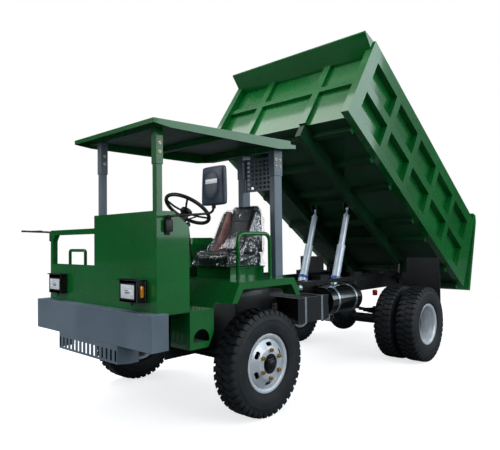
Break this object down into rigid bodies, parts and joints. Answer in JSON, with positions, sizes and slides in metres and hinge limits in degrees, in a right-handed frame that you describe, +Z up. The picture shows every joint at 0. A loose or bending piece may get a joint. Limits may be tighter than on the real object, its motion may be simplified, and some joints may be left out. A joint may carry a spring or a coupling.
{
  "type": "mining dump truck",
  "caption": "Small open-cab mining dump truck with a raised ribbed bed on telescopic hoists, hung tailgate, canopy, offset driver's seat, twin rear wheels and lugged tyres.",
  "frame": {"origin": "centre of the outline on the ground under the tyres", "axes": "+Z up, +Y towards the rear, the front faces -Y, +X the truck's own left"},
  "size_m": [2.6118, 5.7651, 3.6418],
  "materials": {
    "green": "gloss",
    "slate": "gloss",
    "black": "satin",
    "iron": "matt",
    "silver": "satin",
    "steel": "brushed",
    "tyre": "matt",
    "rubber": "matt",
    "trim": "matt",
    "vinyl": "satin",
    "glass": "gloss",
    "amber": "gloss"
  },
  "bodies": {
    "chassis": {"frame": "black", "front_axle": "iron", "rear_axle": "iron", "leaf_springs": "iron", "engine": "iron", "bumper": "slate", "bumper_grille": "slate", "cowl": "green", "cab_floor": "green", "fenders": "green", "engine_cover": "green", "seat": "vinyl", "rails": "green", "posts": "slate", "canopy": "green", "lamp_housings": "trim", "lamp_lenses": "glass", "indicators": "amber", "mirrors": "trim", "steering_column": "black", "tanks": "black", "tank_straps": "steel", "mud_flaps": "rubber"},
    "knuckle_left": {"knuckle_left": "iron"},
    "knuckle_right": {"knuckle_right": "iron"},
    "tie_rod": {"tie_rod": "iron"},
    "front_left_wheel": {"front_left_tyre": "tyre", "front_left_wheel": "silver"},
    "front_right_wheel": {"front_right_tyre": "tyre", "front_right_wheel": "silver"},
    "rear_left_wheels": {"rear_left_tyres": "tyre", "rear_left_wheels": "silver"},
    "rear_right_wheels": {"rear_right_tyres": "tyre", "rear_right_wheels": "silver"},
    "steering_wheel": {"steering_wheel": "trim"},
    "bed": {"bed": "green"},
    "tailgate": {"tailgate": "green"},
    "hoist_barrel_left": {"hoist_barrel_left": "steel"},
    "hoist_outer_stage_left": {"hoist_outer_stage_left": "steel"},
    "hoist_inner_stage_left": {"hoist_inner_stage_left": "steel"},
    "hoist_rod_left": {"hoist_rod_left": "steel"},
    "hoist_barrel_right": {"hoist_barrel_right": "steel"},
    "hoist_outer_stage_right": {"hoist_outer_stage_right": "steel"},
    "hoist_inner_stage_right": {"hoist_inner_stage_right": "steel"},
    "hoist_rod_right": {"hoist_rod_right": "steel"}
  },
  "joints": [
    {"name": "steer_left", "type": "hinge", "parent": "chassis", "child": "knuckle_left", "pos_m": [0.715, -1.84, 0.4325], "axis": [0, 0, 1], "range_deg": [-30, 30]},
    {"name": "steer_right", "type": "hinge", "parent": "chassis", "child": "knuckle_right", "pos_m": [-0.715, -1.84, 0.4325], "axis": [0, 0, 1], "range_deg": [-30, 30]},
    {"name": "tie_rod_swing", "type": "hinge", "parent": "knuckle_left", "child": "tie_rod", "pos_m": [0.715, -1.675, 0.3465], "axis": [0, 0, 1], "range_deg": [-30, 30]},
    {"name": "steering_wheel_turn", "type": "hinge", "parent": "chassis", "child": "steering_wheel", "pos_m": [0.48, -2.25, 1.69], "axis": [0, 0.5736, 0.8192], "range_deg": [-540, 540]},
    {"name": "front_left_roll", "type": "hinge", "parent": "knuckle_left", "child": "front_left_wheel", "pos_m": [0.89, -1.84, 0.4325], "axis": [1, 0, 0], "continuous": true},
    {"name": "front_right_roll", "type": "hinge", "parent": "knuckle_right", "child": "front_right_wheel", "pos_m": [-0.89, -1.84, 0.4325], "axis": [1, 0, 0], "continuous": true},
    {"name": "rear_left_roll", "type": "hinge", "parent": "chassis", "child": "rear_left_wheels", "pos_m": [0.926, 0.777, 0.4325], "axis": [1, 0, 0], "continuous": true},
    {"name": "rear_right_roll", "type": "hinge", "parent": "chassis", "child": "rear_right_wheels", "pos_m": [-0.926, 0.777, 0.4325], "axis": [1, 0, 0], "continuous": true},
    {"name": "bed_tip", "type": "hinge", "parent": "chassis", "child": "bed", "pos_m": [0, 1.55, 1.086], "axis": [-1, 0, 0], "range_deg": [-34, 0]},
    {"name": "tailgate_swing", "type": "hinge", "parent": "bed", "child": "tailgate", "pos_m": [0, 2.74767, 1.76181], "axis": [1, 0, 0], "range_deg": [-9.9, 55]},
    {"name": "hoist_lean_left", "type": "hinge", "parent": "chassis", "child": "hoist_barrel_left", "pos_m": [0.245, 0.092, 0.5], "axis": [-1, 0, 0], "range_deg": [-2.2, 0]},
    {"name": "hoist_outer_stage_slide_left", "type": "slide", "parent": "hoist_barrel_left", "child": "hoist_outer_stage_left", "axis": [0, 0.3272, 0.9449], "range_m": [-0.345, 0]},
    {"name": "hoist_inner_stage_slide_left", "type": "slide", "parent": "hoist_outer_stage_left", "child": "hoist_inner_stage_left", "axis": [0, 0.3272, 0.9449], "range_m": [-0.345, 0]},
    {"name": "hoist_rod_slide_left", "type": "slide", "parent": "hoist_inner_stage_left", "child": "hoist_rod_left", "axis": [0, 0.3272, 0.9449], "range_m": [-0.0351, 0]},
    {"name": "hoist_lean_right", "type": "hinge", "parent": "chassis", "child": "hoist_barrel_right", "pos_m": [-0.245, 0.092, 0.5], "axis": [-1, 0, 0], "range_deg": [-2.2, 0]},
    {"name": "hoist_outer_stage_slide_right", "type": "slide", "parent": "hoist_barrel_right", "child": "hoist_outer_stage_right", "axis": [0, 0.3272, 0.9449], "range_m": [-0.345, 0]},
    {"name": "hoist_inner_stage_slide_right", "type": "slide", "parent": "hoist_outer_stage_right", "child": "hoist_inner_stage_right", "axis": [0, 0.3272, 0.9449], "range_m": [-0.345, 0]},
    {"name": "hoist_rod_slide_right", "type": "slide", "parent": "hoist_inner_stage_right", "child": "hoist_rod_right", "axis": [0, 0.3272, 0.9449], "range_m": [-0.0351, 0]}
  ],
  "couplings": [
    {"joint": "steer_right", "follows": "steer_left", "ratio": 1},
    {"joint": "tie_rod_swing", "follows": "steer_left", "ratio": -1},
    {"joint": "steering_wheel_turn", "follows": "steer_left", "ratio": 18},
    {"joint": "hoist_lean_left", "follows": "bed_tip", "ratio": 0.062},
    {"joint": "hoist_outer_stage_slide_left", "follows": "bed_tip", "m_per_rad": 0.5808},
    {"joint": "hoist_inner_stage_slide_left", "follows": "bed_tip", "m_per_rad": 0.5808},
    {"joint": "hoist_rod_slide_left", "follows": "bed_tip", "m_per_rad": 0.05909},
    {"joint": "hoist_lean_right", "follows": "bed_tip", "ratio": 0.062},
    {"joint": "hoist_outer_stage_slide_right", "follows": "bed_tip", "m_per_rad": 0.5808},
    {"joint": "hoist_inner_stage_slide_right", "follows": "bed_tip", "m_per_rad": 0.5808},
    {"joint": "hoist_rod_slide_right", "follows": "bed_tip", "m_per_rad": 0.05909}
  ]
}
